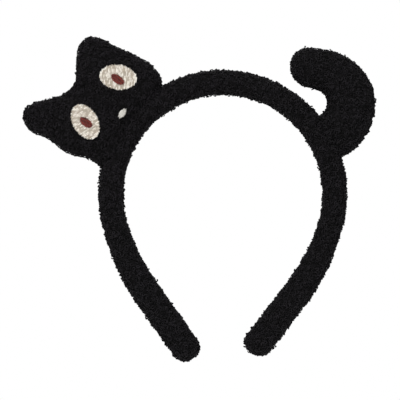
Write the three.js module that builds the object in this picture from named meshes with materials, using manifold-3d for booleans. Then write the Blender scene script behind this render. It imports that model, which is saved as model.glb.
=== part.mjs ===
// A cat headband: a sprung hoop in a padded cover of looped fabric, with a stuffed cat's head
// and a stuffed tail sewn on its outer side.
//
// Millimetres and degrees. +Z is up as worn and the front faces -Y, so +X is on the right seen
// from the front. The origin is the middle of the crown's inner face, where it sits on a head.
// Left and right are as seen from the front.

import * as THREE from 'three';
import { mergeVertices } from 'three/addons/utils/BufferGeometryUtils.js';
import Module from 'manifold-3d';

// ---------------------------------------------------------------- driving dimensions

// The hoop's centreline: an arc over the head, a wider arc on each side, then a straight leg.
const hoopRadius = 61;
const crownHalfAngle = 106;
const flareRadius = 120;
const legLean = 36.5;
const leftLeg = 43.5;
const rightLeg = 38.8;

// The covered band's section, flattened on the side that touches the head.
const bandWidth = 18;
const crownThickness = 13;
const legThickness = 15.2;
const outerShare = 0.55;
const tipDome = 7.8;
const coverWall = 2;

// The sprung strip inside it, with a soft cap on each end.
const stripThickness = 1;
const stripWidth = 7;
const stripEndSetback = 14;
const capWall = 1.2;
const capLength = 12;

// The seam that closes the cover, along the inner side.
const seamThread = 0.6;
const seamEndSetback = 12;

// Each side of the hoop flexes where its curve is tightest.
const flexAngle = 15;
const flexClosing = 4.5;

// The stuffed head, in its own frame: across, and height above the band's outer face.
const headAngle = -54.9;
const headHalfDepth = 12.5;
const headCentreAcross = 2.5;
const headCentreHeight = 16;
const cheekWidth = 34.5;
const earTipHeight = 45.5;
const notchHeight = 33.8;
const plushWall = 2.5;

// The embroidery on the head's front.
const eyeLength = 20.4;
const eyeWidth = 13.5;
const eyeHeight = 16;
const leftEyeAcross = -12.4;
const rightEyeAcross = 17.6;
const leftEyeLean = 22.5;
const rightEyeLean = -28;
const pupilLength = 8;
const pupilWidth = 4.1;
const pupilDrop = 0.5;
const rightPupilShift = -1.2;
const mouthWidth = 5.7;
const mouthHeight = 3;
const mouthAcross = 3.2;
const mouthRise = 2.8;
const threadProud = 0.4;
const threadSunk = 0.8;
const backingThickness = 0.5;
const backingMargin = 4;

// The stuffed tail, in its own frame: its centreline curls on one arc and eases on a wider one.
const tailAngle = 60.3;
const tailRootAcross = -0.7;
const tailRootSunk = 5;
const tailRootLean = 17;
const tailCurlRadius = 19.2;
const tailCurlAngle = 151;
const tailEaseRadius = 51;
const tailEaseRun = 20.4;
const tailRadius = 13.2;
const tailTipRadius = 11;
const tailDepthShare = 0.9;
const tailRootSetback = 2.4;
const tailRootLength = 16;

// Sewing threads round the edges of the head and the tail, and where they meet the band.
const edgeThread = 0.6;
const seatThread = 0.8;
const seatStitchSetback = 1;
const headSeatHalfAngle = 16;
const tailSeatHalfAngle = 8;

// Room between pieces that lie against each other.
const clearance = 0.35;

// How finely round shapes are divided.
const bandSides = 18;
const paddingSides = 14;
const headSides = 36;
const headRows = 12;
const tailSides = 20;
const threadSides = 6;
const bandPitch = 9;
const tailPitch = 6.5;
const threadPitch = 6.5;
const patchSides = 24;
const domeSteps = 4;
const edgeSteps = 48;

// ---------------------------------------------------------------- values worked out from them

const rad = THREE.MathUtils.degToRad;
const sideAngle = 90 + legLean;
const crownRun = hoopRadius * rad(crownHalfAngle);
const flareRun = flareRadius * rad(sideAngle - crownHalfAngle);
const leftEnd = crownRun + flareRun + leftLeg;
const rightEnd = crownRun + flareRun + rightLeg;
const outerRise = crownThickness * outerShare;
const innerRise = crownThickness - outerRise;
const seatRadius = hoopRadius + outerRise;
const reach = 3 * seatRadius;

// The parting planes stop short of the arch's centre, so that they don't cross.
const partingDepth = 0.9 * seatRadius;

// ---------------------------------------------------------------- solids

const wasm = await Module();
wasm.setup();

// A closed three.js geometry as a solid that can be cut and joined.
function solid(geometry) {
  geometry.deleteAttribute('normal');
  geometry.deleteAttribute('uv');
  const merged = mergeVertices(geometry);
  const corners = merged.index.array;
  const triangles = [];
  for (let i = 0; i < corners.length; i += 3) {
    const [a, b, c] = [corners[i], corners[i + 1], corners[i + 2]];
    if (a !== b && b !== c && c !== a) {
      triangles.push(a, b, c);
    }
  }
  return new wasm.Manifold(new wasm.Mesh({
    numProp: 3,
    vertProperties: Float32Array.from(merged.attributes.position.array),
    triVerts: Uint32Array.from(triangles),
  }));
}

// A solid as a named mesh with a finish of its own.
function part(name, shape, finish) {
  const result = shape.getMesh();
  const geometry = new THREE.BufferGeometry();
  geometry.setAttribute('position', new THREE.BufferAttribute(result.vertProperties, 3));
  geometry.setIndex(new THREE.BufferAttribute(result.triVerts, 1));
  geometry.computeVertexNormals();
  const mesh = new THREE.Mesh(geometry, new THREE.MeshStandardMaterial(finish));
  mesh.name = name;
  return mesh;
}

// Moves each corner of a geometry to where `place` puts it.
function reshape(geometry, place) {
  const position = geometry.attributes.position;
  const corner = new THREE.Vector3();
  for (let i = 0; i < position.count; i += 1) {
    corner.fromBufferAttribute(position, i);
    const moved = place(corner);
    position.setXYZ(i, moved.x, moved.y, moved.z);
  }
  return geometry;
}

// A plate seen from the front, given by its corners, that is far deeper than the headband.
function frontPlate(corners) {
  const outline = new THREE.Shape(corners);
  const plate = new THREE.ExtrudeGeometry(outline, { depth: 2 * reach, bevelEnabled: false });
  plate.rotateX(Math.PI / 2);
  return plate.translate(0, reach, 0);
}

// All that lies in front of (-1) or behind (1) the middle plane, less half a clearance.
function halfSpace(side) {
  const box = new THREE.BoxGeometry(2 * reach, reach, 2 * reach);
  return solid(box.translate(0, side * (reach + clearance) / 2, 0));
}

// A round thread through the given points.
function thread(points, radius) {
  const route = new THREE.CatmullRomCurve3(points);
  const round = new THREE.Shape();
  round.absarc(0, 0, radius, 0, 2 * Math.PI);
  return solid(new THREE.ExtrudeGeometry(round, {
    extrudePath: route,
    steps: Math.ceil(route.getLength() / threadPitch),
    curveSegments: threadSides,
    bevelEnabled: false,
  }));
}

// ---------------------------------------------------------------- the hoop's path

// A place on the hoop's centreline. `along` is measured from the top, positive to the right;
// `turn` is how far the hoop has turned there, so outwards is (sin turn, cos turn).
function hoopAt(along) {
  const side = along < 0 ? -1 : 1;
  const run = Math.abs(along);
  const crownTurn = Math.min(run, crownRun) / hoopRadius;
  const flareTurn = Math.min(Math.max(run - crownRun, 0), flareRun) / flareRadius;
  const straight = Math.max(run - crownRun - flareRun, 0);
  const turn = crownTurn + flareTurn;
  const inset = flareRadius - hoopRadius;
  const x = flareRadius * Math.sin(turn) - inset * Math.sin(crownTurn) + straight * Math.cos(turn);
  const z = flareRadius * Math.cos(turn) - inset * Math.cos(crownTurn) - straight * Math.sin(turn);
  return { x: side * x, z, turn: side * turn };
}

// Carries a point built along +Z round the hoop: x is outwards and z the distance along.
function roundHoop({ x, y, z }) {
  const at = hoopAt(z);
  return {
    x: at.x + x * Math.sin(at.turn),
    y: -y,
    z: at.z + x * Math.cos(at.turn),
  };
}

// The band is thinner over the crown than on its legs.
function thicknessAt(along) {
  const share = THREE.MathUtils.smoothstep(Math.abs(along), crownRun, crownRun + flareRun);
  return THREE.MathUtils.lerp(crownThickness, legThickness, share);
}

// Distances from `from` to `to` in even steps of about one pitch.
function evenly(from, to, pitch) {
  const count = Math.ceil((to - from) / pitch);
  return Array.from({ length: count + 1 }, (_, i) => from + ((to - from) * i) / count);
}

// The band's own shape with rounded tips, `inset` mm inside the cover's outer face.
function bandLayer(inset, sides = bandSides) {
  const dome = tipDome - inset;
  const [from, to] = [-leftEnd + inset, rightEnd - inset];
  const profile = [];
  for (let i = 0; i < domeSteps; i += 1) {
    const angle = (i / domeSteps) * (Math.PI / 2);
    profile.push(new THREE.Vector2(Math.sin(angle), from + dome * (1 - Math.cos(angle))));
  }
  for (const along of evenly(from + dome, to - dome, bandPitch)) {
    profile.push(new THREE.Vector2(1, along));
  }
  for (let i = domeSteps - 1; i >= 0; i -= 1) {
    const angle = (i / domeSteps) * (Math.PI / 2);
    profile.push(new THREE.Vector2(Math.sin(angle), to - dome * (1 - Math.cos(angle))));
  }
  const sausage = new THREE.LatheGeometry(profile, sides).rotateX(Math.PI / 2);
  return reshape(sausage, (corner) => {
    const thickness = thicknessAt(corner.z);
    const outer = thickness * outerShare - inset;
    const inner = thickness * (1 - outerShare) - inset;
    corner.x = Math.max(corner.x * outer, -inner);
    corner.y *= bandWidth / 2 - inset;
    return roundHoop(corner);
  });
}

// A flat strip along the hoop's centreline.
function hoopStrip(thickness, width, from, to) {
  const steps = Math.ceil((to - from) / bandPitch);
  const strip = new THREE.BoxGeometry(thickness, width, to - from, 1, 1, steps);
  strip.translate(0, 0, (from + to) / 2);
  return solid(reshape(strip, roundHoop));
}

// A round thread along the middle of the band's inner face.
function hoopSeam(radius) {
  const [from, to] = [-leftEnd + seamEndSetback, rightEnd - seamEndSetback];
  const steps = Math.ceil((to - from) / bandPitch);
  const rod = new THREE.CylinderGeometry(radius, radius, to - from, threadSides, steps);
  rod.rotateX(Math.PI / 2).translate(0, 0, (from + to) / 2);
  return solid(reshape(rod, (corner) => {
    corner.x -= thicknessAt(corner.z) * (1 - outerShare) - radius / 2;
    return roundHoop(corner);
  }));
}

// ---------------------------------------------------------------- crown, left and right

// The parting plane of one side, as a line seen from the front. It passes through the hinge
// line on the band's outer face; `open` leans it away from the crown towards the inside.
function partingLine(side, open) {
  const pivotTurn = side * rad(flexAngle);
  const pivot = new THREE.Vector2(Math.sin(pivotTurn), Math.cos(pivotTurn)).multiplyScalar(seatRadius);
  const lean = pivotTurn - side * rad(open);
  const outwards = new THREE.Vector2(Math.sin(lean), Math.cos(lean));
  const away = new THREE.Vector2(side * Math.cos(lean * side), -Math.sin(lean * side));
  pivot.addScaledVector(away, open ? clearance / 2 : -clearance / 2);
  return {
    outside: pivot.clone().addScaledVector(outwards, seatRadius),
    inside: pivot.clone().addScaledVector(outwards, -partingDepth),
  };
}

function crownRegion() {
  const left = partingLine(-1, 0);
  const right = partingLine(1, 0);
  return solid(frontPlate([left.inside, right.inside, right.outside, left.outside]));
}

function sideRegion(side) {
  const line = partingLine(side, flexClosing);
  const corners = [
    line.outside,
    line.inside,
    new THREE.Vector2(0, -reach),
    new THREE.Vector2(side * reach, -reach),
    new THREE.Vector2(side * reach, line.outside.y),
  ];
  return solid(frontPlate(corners));
}

const regions = { crown: crownRegion(), left: sideRegion(-1), right: sideRegion(1) };

// ---------------------------------------------------------------- the band's layers

const finishes = {
  fleece: { color: 0x17161a, roughness: 1, metalness: 0 },
  foam: { color: 0xd9d6cc, roughness: 0.95, metalness: 0 },
  springSteel: { color: 0x8f9399, roughness: 0.35, metalness: 1 },
  vinyl: { color: 0x2a2a2c, roughness: 0.5, metalness: 0 },
  stuffing: { color: 0xf2f1ee, roughness: 1, metalness: 0 },
  backing: { color: 0xefece6, roughness: 0.9, metalness: 0 },
  creamThread: { color: 0xd6cbbb, roughness: 0.6, metalness: 0 },
  redThread: { color: 0x6b2324, roughness: 0.6, metalness: 0 },
  silverThread: { color: 0xc9c7c2, roughness: 0.5, metalness: 0 },
  blackThread: { color: 0x101012, roughness: 0.8, metalness: 0 },
};

const stripEnds = [-leftEnd + stripEndSetback, rightEnd - stripEndSetback];

// A soft cap over one end of the strip; `grow` makes it larger all round.
function tipCap(side, grow = 0) {
  const end = side < 0 ? stripEnds[0] : stripEnds[1];
  const thickness = stripThickness + 2 * (capWall + clearance + grow);
  const width = stripWidth + 2 * (capWall + clearance + grow);
  const from = side < 0 ? end - capWall - clearance - grow : end - capLength - grow;
  const to = side < 0 ? end + capLength + grow : end + capWall + clearance + grow;
  return hoopStrip(thickness, width, from, to);
}

const strip = hoopStrip(stripThickness, stripWidth, ...stripEnds);
const stripRoom = hoopStrip(
  stripThickness + 2 * clearance,
  stripWidth + 2 * clearance,
  stripEnds[0] - clearance,
  stripEnds[1] + clearance,
);
const cover = solid(bandLayer(0))
  .subtract(solid(bandLayer(coverWall)))
  .subtract(hoopSeam(seamThread + clearance));
const padding = solid(bandLayer(coverWall + clearance, paddingSides))
  .subtract(stripRoom)
  .subtract(tipCap(-1, clearance))
  .subtract(tipCap(1, clearance));
const seam = hoopSeam(seamThread);

function bandPieces(where) {
  const region = regions[where];
  return [
    part(`spring_strip_${where}`, strip.intersect(region), finishes.springSteel),
    part(`padding_${where}`, padding.intersect(region), finishes.foam),
    part(`cover_${where}`, cover.intersect(region), finishes.fleece),
    part(`cover_seam_${where}`, seam.intersect(region), finishes.blackThread),
  ];
}

function capPiece(name, side) {
  return part(name, tipCap(side).subtract(stripRoom), finishes.vinyl);
}

// ---------------------------------------------------------------- the stuffed head

// Where the head is sewn down, its outline follows the hoop's centreline, inside the band.
const onHoop = (across) => [across, Math.sqrt(hoopRadius ** 2 - across ** 2) - seatRadius];

// The head's outline: cheek, ear, notch between the ears, ear, cheek, then the seat.
const headOutline = new THREE.CatmullRomCurve3([
  [cheekWidth - 5.4, -6.2],
  [cheekWidth - 0.3, 5],
  [cheekWidth - 1.4, 17],
  [cheekWidth - 4, 29],
  [cheekWidth - 5.1, earTipHeight - 8.4],
  [cheekWidth - 8.9, earTipHeight - 2.7],
  [cheekWidth - 15.5, earTipHeight - 1.4],
  [cheekWidth - 23.2, earTipHeight - 5.4],
  [1, notchHeight],
  [24.5 - cheekWidth, notchHeight + 2.6],
  [15.5 - cheekWidth, earTipHeight - 1.9],
  [8 - cheekWidth, earTipHeight + 2],
  [2.2 - cheekWidth, earTipHeight - 1.5],
  [-cheekWidth, earTipHeight - 8],
  [2 - cheekWidth, 28],
  [2.2 - cheekWidth, 14],
  [6.6 - cheekWidth, 2.4],
  onHoop(8.2 - cheekWidth),
  onHoop(10 - cheekWidth / 2),
  onHoop(cheekWidth / 2 - 6),
].map(([across, height]) => new THREE.Vector3(across, 0, seatRadius + height)), true, 'centripetal');

const headCentre = new THREE.Vector3(headCentreAcross, 0, seatRadius + headCentreHeight);

// The stuffed head's shape, `inset` mm inside its outer face (negative is outside it).
function headLayer(inset) {
  const ball = new THREE.SphereGeometry(1, headSides, headRows);
  return solid(reshape(ball, (corner) => {
    const around = (Math.atan2(corner.z, corner.x) / (2 * Math.PI) + 1) % 1;
    const edge = headOutline.getPointAt(around);
    const tangent = headOutline.getTangentAt(around);
    edge.x -= inset * tangent.z;
    edge.z += inset * tangent.x;
    const ring = Math.hypot(corner.x, corner.z);
    const place = headCentre.clone().lerp(edge, ring);
    place.y = corner.y * (headHalfDepth - inset);
    return place;
  }));
}

// The band's room as seen from a piece that sits on it at the given angle round the hoop.
const bandRoom = (angle) => solid(bandLayer(-clearance).rotateY(-rad(angle)));

// A line of stitches along the band's outer face, on the front (-1) or the back (1).
function seatLine(side, halfAngle) {
  const onCover = bandWidth / 2 - seatStitchSetback;
  const rise = outerRise * Math.sqrt(1 - (2 * onCover / bandWidth) ** 2);
  const radius = hoopRadius + rise + seatThread;
  const depth = side * (onCover + seatThread);
  return evenly(-halfAngle, halfAngle, halfAngle / 2).map((angle) => new THREE.Vector3(
    radius * Math.sin(rad(angle)),
    depth,
    radius * Math.cos(rad(angle)),
  ));
}

// A round-ended prism through the head, front to back, for one patch of embroidery.
function patch({ across, height, length, width, lean = 0 }, grow = 0) {
  const prism = new THREE.CylinderGeometry(1, 1, 2 * headHalfDepth, patchSides);
  prism.scale(width / 2 + grow, 1, length / 2 + grow);
  prism.rotateY(rad(lean));
  return solid(prism.translate(across, -headHalfDepth - clearance, seatRadius + height));
}

const eye = { height: eyeHeight, length: eyeLength, width: eyeWidth };
const pupil = { height: eyeHeight - pupilDrop, length: pupilLength, width: pupilWidth };
const patches = {
  eye_left: { ...eye, across: leftEyeAcross, lean: leftEyeLean },
  eye_right: { ...eye, across: rightEyeAcross, lean: rightEyeLean },
  pupil_left: { ...pupil, across: leftEyeAcross },
  pupil_right: { ...pupil, across: rightEyeAcross + rightPupilShift },
  mouth: { across: mouthAcross, height: mouthRise, length: mouthHeight, width: mouthWidth },
};

// The head's edge, clear of the band, from the right cheek over both ears to the left cheek.
function headEdge() {
  const lowest = seatRadius + edgeThread + 2 * clearance;
  return evenly(0, 1, 1 / edgeSteps)
    .map((share) => headOutline.getPointAt(share))
    .filter((point) => point.length() > lowest);
}

function headPieces() {
  const outside = headLayer(0);
  const room = bandRoom(headAngle);
  const skin = outside.subtract(headLayer(plushWall)).subtract(room);
  const edge = headEdge();
  const edgeRoom = thread(edge, edgeThread + clearance);
  const seatStitches = [-1, 1].map((side) => seatLine(side, headSeatHalfAngle));
  const seatRoom = seatStitches.map((points) => thread(points, seatThread + clearance));
  const shell = skin.subtract(edgeRoom).subtract(seatRoom[0]).subtract(seatRoom[1]);

  const threadBand = headLayer(-threadProud).subtract(headLayer(threadSunk));
  const pocketFloor = headLayer(threadSunk + clearance);
  const embroidered = Object.fromEntries(Object.entries(patches).map(([name, shape]) => {
    const hole = name.startsWith('eye') ? patches[name.replace('eye', 'pupil')] : null;
    const whole = patch(shape).intersect(threadBand);
    return [name, hole ? whole.subtract(patch(hole, clearance)) : whole];
  }));
  const pockets = ['eye_left', 'eye_right', 'mouth'].map(
    (name) => patch(patches[name], clearance).subtract(pocketFloor),
  );
  const front = pockets.reduce((left, pocket) => left.subtract(pocket), shell.intersect(halfSpace(-1)));

  const backingOuter = plushWall + clearance;
  const stuffingInset = backingOuter + backingThickness + clearance;
  const backingPatch = patch({
    across: (leftEyeAcross + rightEyeAcross) / 2,
    height: (eyeHeight + mouthRise + backingMargin) / 2,
    length: eyeHeight - mouthRise + eyeLength / 2 + 2 * backingMargin,
    width: rightEyeAcross - leftEyeAcross + eyeWidth + backingMargin,
  });
  const backing = headLayer(backingOuter)
    .subtract(headLayer(backingOuter + backingThickness))
    .intersect(backingPatch)
    .subtract(room);

  const group = new THREE.Group();
  group.rotation.y = rad(headAngle);
  group.add(
    part('head_front', front, finishes.fleece),
    part('head_back', shell.intersect(halfSpace(1)), finishes.fleece),
    part('head_stuffing', headLayer(stuffingInset).subtract(room), finishes.stuffing),
    part('embroidery_backing', backing, finishes.backing),
    part('eye_left', embroidered.eye_left, finishes.creamThread),
    part('eye_right', embroidered.eye_right, finishes.creamThread),
    part('pupil_left', embroidered.pupil_left, finishes.redThread),
    part('pupil_right', embroidered.pupil_right, finishes.redThread),
    part('mouth', embroidered.mouth, finishes.silverThread),
    part('head_edge_seam', thread(edge, edgeThread), finishes.blackThread),
    part('head_seat_stitching_front', thread(seatStitches[0], seatThread), finishes.blackThread),
    part('head_seat_stitching_back', thread(seatStitches[1], seatThread), finishes.blackThread),
  );
  return group;
}

// ---------------------------------------------------------------- the stuffed tail

const tailCurlRun = tailCurlRadius * rad(tailCurlAngle);
const tailLength = tailCurlRun + tailEaseRun;

// The tail's radius at a distance along it: even, a little thinner at the end, then round.
function tailRadiusAt(along) {
  const slim = THREE.MathUtils.smoothstep(along, tailLength / 3, tailLength - tailTipRadius);
  return THREE.MathUtils.lerp(tailRadius, tailTipRadius, slim);
}

// The tail is nearly as deep as it is wide, and flatter at its root to sit on the band.
function tailDepthAt(along) {
  const full = THREE.MathUtils.smoothstep(along, 0, tailRootLength);
  const rootDepthShare = (bandWidth / 2 - tailRootSetback) / tailRadius;
  return THREE.MathUtils.lerp(rootDepthShare, tailDepthShare, full);
}

// A place in the tail: `along` its centreline from inside the band, `out` from it towards the
// outside of the curl, and `deep` towards the back. It turns up and over, towards the head.
function onTail(along, out, deep) {
  const inwards = (turn) => new THREE.Vector3(-Math.cos(turn), 0, -Math.sin(turn));
  const start = rad(-tailRootLean);
  const curled = start + Math.min(along, tailCurlRun) / tailCurlRadius;
  const turn = curled + Math.max(along - tailCurlRun, 0) / tailEaseRadius;
  return new THREE.Vector3(tailRootAcross, deep, seatRadius - tailRootSunk)
    .addScaledVector(inwards(start), tailCurlRadius)
    .addScaledVector(inwards(curled), tailEaseRadius - tailCurlRadius)
    .addScaledVector(inwards(turn), -tailEaseRadius - out);
}

function tailLayer(inset) {
  const tip = tailTipRadius - inset;
  const tipStart = tailLength - inset - tip;
  const profile = [new THREE.Vector2(0, 0)];
  for (const along of evenly(0, tipStart, tailPitch)) {
    profile.push(new THREE.Vector2(tailRadiusAt(along) - inset, along));
  }
  for (let i = 1; i <= domeSteps; i += 1) {
    const angle = (i / domeSteps) * (Math.PI / 2);
    const radius = i === domeSteps ? 0 : tip * Math.cos(angle);
    profile.push(new THREE.Vector2(radius, tipStart + tip * Math.sin(angle)));
  }
  const body = new THREE.LatheGeometry(profile, tailSides).rotateX(Math.PI / 2);
  return solid(reshape(body, ({ x, y, z }) => onTail(z, x, y * tailDepthAt(z))));
}

// The tail's edge: up its outer side, round the tip and back along its inner side.
function tailEdge() {
  const tipStart = tailLength - tailTipRadius;
  const outer = evenly(tailRadius, tipStart, tailPitch).map((along) => onTail(along, tailRadiusAt(along), 0));
  const inner = evenly(tailRadius, tipStart, tailPitch).map((along) => onTail(along, -tailRadiusAt(along), 0));
  const tip = evenly(-60, 60, 30).reverse().map((angle) => onTail(
    tipStart + tailTipRadius * Math.cos(rad(angle)),
    tailTipRadius * Math.sin(rad(angle)),
    0,
  ));
  return [...outer, ...tip, ...inner.reverse()];
}

function tailPieces() {
  const room = bandRoom(tailAngle);
  const skin = tailLayer(0).subtract(tailLayer(plushWall)).subtract(room);
  const edge = tailEdge();
  const edgeRoom = thread(edge, edgeThread + clearance);
  const seatStitches = [-1, 1].map((side) => seatLine(side, tailSeatHalfAngle));
  const seatRoom = seatStitches.map((points) => thread(points, seatThread + clearance));
  const shell = skin.subtract(edgeRoom).subtract(seatRoom[0]).subtract(seatRoom[1]);
  const stuffing = tailLayer(plushWall + clearance).subtract(room);

  const group = new THREE.Group();
  group.rotation.y = rad(tailAngle);
  group.add(
    part('tail_front', shell.intersect(halfSpace(-1)), finishes.fleece),
    part('tail_back', shell.intersect(halfSpace(1)), finishes.fleece),
    part('tail_stuffing', stuffing, finishes.stuffing),
    part('tail_edge_seam', thread(edge, edgeThread), finishes.blackThread),
    part('tail_seat_stitching_front', thread(seatStitches[0], seatThread), finishes.blackThread),
    part('tail_seat_stitching_back', thread(seatStitches[1], seatThread), finishes.blackThread),
  );
  return group;
}

// ---------------------------------------------------------------- the headband

// Everything is built round the centre of the crown's arc, below the inner face's middle.
const headband = new THREE.Group();
headband.position.z = -(hoopRadius - innerRise);
for (const where of Object.keys(regions)) {
  headband.add(...bandPieces(where));
}
headband.add(capPiece('tip_cap_left', -1), capPiece('tip_cap_right', 1));
headband.add(headPieces(), tailPieces());

export default headband;
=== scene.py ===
# %% [markdown]
# # A cat headband in looped black fleece
#
# The real headband is a strip of spring steel in a foam sleeve, covered with fleece whose yarn
# stands up in small curls. A stuffed cat's head and a stuffed tail are sewn on its outer side.
# The frame brings in the sizes, the joints and the inner parts. This script makes what shows:
# the fleece, the stuffed shapes and the embroidery.

# %% Load the frame
import math

import bmesh
import bpy
import numpy as np
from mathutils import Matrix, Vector
from mathutils.bvhtree import BVHTree


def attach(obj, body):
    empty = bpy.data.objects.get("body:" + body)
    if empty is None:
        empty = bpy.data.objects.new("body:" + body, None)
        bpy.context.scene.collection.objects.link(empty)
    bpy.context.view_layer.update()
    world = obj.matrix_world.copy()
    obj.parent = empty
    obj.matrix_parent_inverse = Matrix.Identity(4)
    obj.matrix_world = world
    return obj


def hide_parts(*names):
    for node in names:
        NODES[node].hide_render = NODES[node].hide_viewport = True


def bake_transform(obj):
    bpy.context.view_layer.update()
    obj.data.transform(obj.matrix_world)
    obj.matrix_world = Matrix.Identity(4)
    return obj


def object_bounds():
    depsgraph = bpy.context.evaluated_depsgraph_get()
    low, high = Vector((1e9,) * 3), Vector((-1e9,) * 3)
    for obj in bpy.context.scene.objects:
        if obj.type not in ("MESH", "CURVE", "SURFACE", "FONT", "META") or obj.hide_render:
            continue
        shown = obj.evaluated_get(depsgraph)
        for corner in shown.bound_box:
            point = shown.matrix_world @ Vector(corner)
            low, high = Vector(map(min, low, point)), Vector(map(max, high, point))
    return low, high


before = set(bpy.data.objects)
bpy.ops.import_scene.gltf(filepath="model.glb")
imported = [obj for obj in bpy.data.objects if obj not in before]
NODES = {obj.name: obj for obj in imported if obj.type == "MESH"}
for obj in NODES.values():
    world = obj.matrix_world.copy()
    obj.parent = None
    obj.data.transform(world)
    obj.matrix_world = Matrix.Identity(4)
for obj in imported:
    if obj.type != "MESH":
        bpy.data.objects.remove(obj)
cad_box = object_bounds()
print("parts in the frame:", len(NODES))

# %% [markdown]
# ## Sizes
#
# Everything is in metres, so a size in millimetres is written as a number times `MM`. The
# hoop's centreline is an arc over the head, a wider arc down each side and a straight leg. It
# is measured from the top of the crown, positive to the right seen from the front.

# %% The hoop's sizes
MM = 0.001
HOOP_RADIUS = 61 * MM
CROWN_TURN = math.radians(106)
FLARE_RADIUS = 120 * MM
FULL_TURN = math.radians(126.5)
LEFT_LEG = 43.5 * MM
RIGHT_LEG = 38.8 * MM
BAND_WIDTH = 18 * MM
CROWN_THICKNESS = 13 * MM
LEG_THICKNESS = 15.2 * MM
OUTER_SHARE = 0.55
TIP_DOME = 7.8 * MM

CROWN_RUN = HOOP_RADIUS * CROWN_TURN
FLARE_RUN = FLARE_RADIUS * (FULL_TURN - CROWN_TURN)
SEAT_RADIUS = HOOP_RADIUS + CROWN_THICKNESS * OUTER_SHARE
CENTRE_Z = -(HOOP_RADIUS - CROWN_THICKNESS * (1 - OUTER_SHARE))
LEFT_END = -(CROWN_RUN + FLARE_RUN + LEFT_LEG)
RIGHT_END = CROWN_RUN + FLARE_RUN + RIGHT_LEG
print("hoop length, mm:", round((RIGHT_END - LEFT_END) / MM, 1))


# %% A place on the hoop
def smooth_step(value, low, high):
    share = min(max((value - low) / (high - low), 0), 1)
    return share * share * (3 - 2 * share)


def hoop_at(along):
    """The centreline's x and z, and how far the hoop has turned, at a distance from the top."""
    side = -1 if along < 0 else 1
    run = abs(along)
    crown = min(run, CROWN_RUN) / HOOP_RADIUS
    turn = crown + min(max(run - CROWN_RUN, 0), FLARE_RUN) / FLARE_RADIUS
    straight = max(run - CROWN_RUN - FLARE_RUN, 0)
    inset = FLARE_RADIUS - HOOP_RADIUS
    x = FLARE_RADIUS * math.sin(turn) - inset * math.sin(crown) + straight * math.cos(turn)
    z = FLARE_RADIUS * math.cos(turn) - inset * math.cos(crown) - straight * math.sin(turn)
    return side * x, z + CENTRE_Z, side * turn


def on_hoop(along, out, deep):
    """A point `out` from the centreline, away from the head, and `deep` towards the back."""
    x, z, turn = hoop_at(along)
    return Vector((x + out * math.sin(turn), deep, z + out * math.cos(turn)))


def thickness_at(along):
    share = smooth_step(abs(along), CROWN_RUN, CROWN_RUN + FLARE_RUN)
    return CROWN_THICKNESS + (LEG_THICKNESS - CROWN_THICKNESS) * share


# %% [markdown]
# ## Helpers for nodes, meshes and colours
#
# One function adds a node to any tree, with its settings and its links. Colours are written as
# the hex values a screen shows, and one function turns them into the linear values that the
# shaders need.


# %% Node and colour helpers
def add_node(tree, kind, settings=None, inputs=None):
    node = tree.nodes.new(kind)
    for name, value in (settings or {}).items():
        setattr(node, name, value)
    for name, value in (inputs or {}).items():
        if isinstance(value, bpy.types.NodeSocket):
            tree.links.new(value, node.inputs[name])
        else:
            node.inputs[name].default_value = value
    return node


def linear(hex_colour):
    channels = [int(hex_colour[i : i + 2], 16) / 255 for i in (1, 3, 5)]
    bent = [c / 12.92 if c <= 0.04045 else ((c + 0.055) / 1.055) ** 2.4 for c in channels]
    return (*bent, 1)


# %% Mesh helpers
def new_object(name, mesh):
    piece = bpy.data.objects.new(name, mesh)
    bpy.context.scene.collection.objects.link(piece)
    return piece


def face_out(piece):
    """Points the faces outwards."""
    turned = bmesh.new()
    turned.from_mesh(piece.data)
    bmesh.ops.recalc_face_normals(turned, faces=turned.faces[:])
    turned.to_mesh(piece.data)
    turned.free()


def tube_faces(rings, sides):
    """Faces between rings of corners that follow each other."""
    starts = [(ring * sides + i, ring * sides + (i + 1) % sides)
              for ring in range(rings - 1) for i in range(sides)]
    return [(a, b, b + sides, a + sides) for a, b in starts]


def mesh_object(name, points, faces):
    mesh = bpy.data.meshes.new(name)
    mesh.from_pydata([tuple(p) for p in points], [], faces)
    piece = new_object(name, mesh)
    face_out(piece)
    return piece


def settle(piece):
    """Turns the piece's modifiers into plain mesh."""
    bpy.context.view_layer.update()
    seen = piece.evaluated_get(bpy.context.evaluated_depsgraph_get())
    mesh = bpy.data.meshes.new_from_object(seen)
    piece.modifiers.clear()
    old = piece.data
    piece.data = mesh
    bpy.data.meshes.remove(old)
    mesh.name = piece.name
    return piece


def join(name, pieces):
    """One object from several that share a material."""
    whole = bmesh.new()
    for piece in pieces:
        whole.from_mesh(piece.data)
    mesh = bpy.data.meshes.new(name)
    whole.to_mesh(mesh)
    whole.free()
    mesh.materials.append(pieces[0].data.materials[0])
    for piece in pieces:
        bpy.data.objects.remove(piece)
    return new_object(name, mesh)


def shade_smooth(piece):
    piece.data.shade_smooth()
    return piece


# %% [markdown]
# ## The camera, the light and the floor
#
# A long lens far away keeps the hoop's two legs the same size. Big soft lamps from the front
# show the curls of a black fabric, which takes a lot of light. The floor is nearly white and
# well below the tips, because the headband is held up, not stood on a table.

# %% Camera, light and floor
VIEW_WIDTH = 220 * MM
CAMERA_DISTANCE = 1.8
SENSOR = 36
CAMERA_ROLL = math.radians(-1.2)

aim = Vector((-12.5 * MM, 0, -58.4 * MM))

camera_data = bpy.data.cameras.new("camera")
camera_data.sensor_width = SENSOR
camera_data.lens = SENSOR * CAMERA_DISTANCE / VIEW_WIDTH
camera = new_object("camera", camera_data)
camera.location = aim + Vector((0, -CAMERA_DISTANCE, 0))
camera.rotation_euler = (math.radians(90), CAMERA_ROLL, 0)
bpy.context.scene.camera = camera


def lamp(name, place, size, power):
    data = bpy.data.lights.new(name, "AREA")
    data.size = size
    data.energy = power
    light = new_object(name, data)
    light.location = aim + Vector(place)
    light.rotation_euler = (aim - light.location).to_track_quat("-Z", "Y").to_euler()


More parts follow.
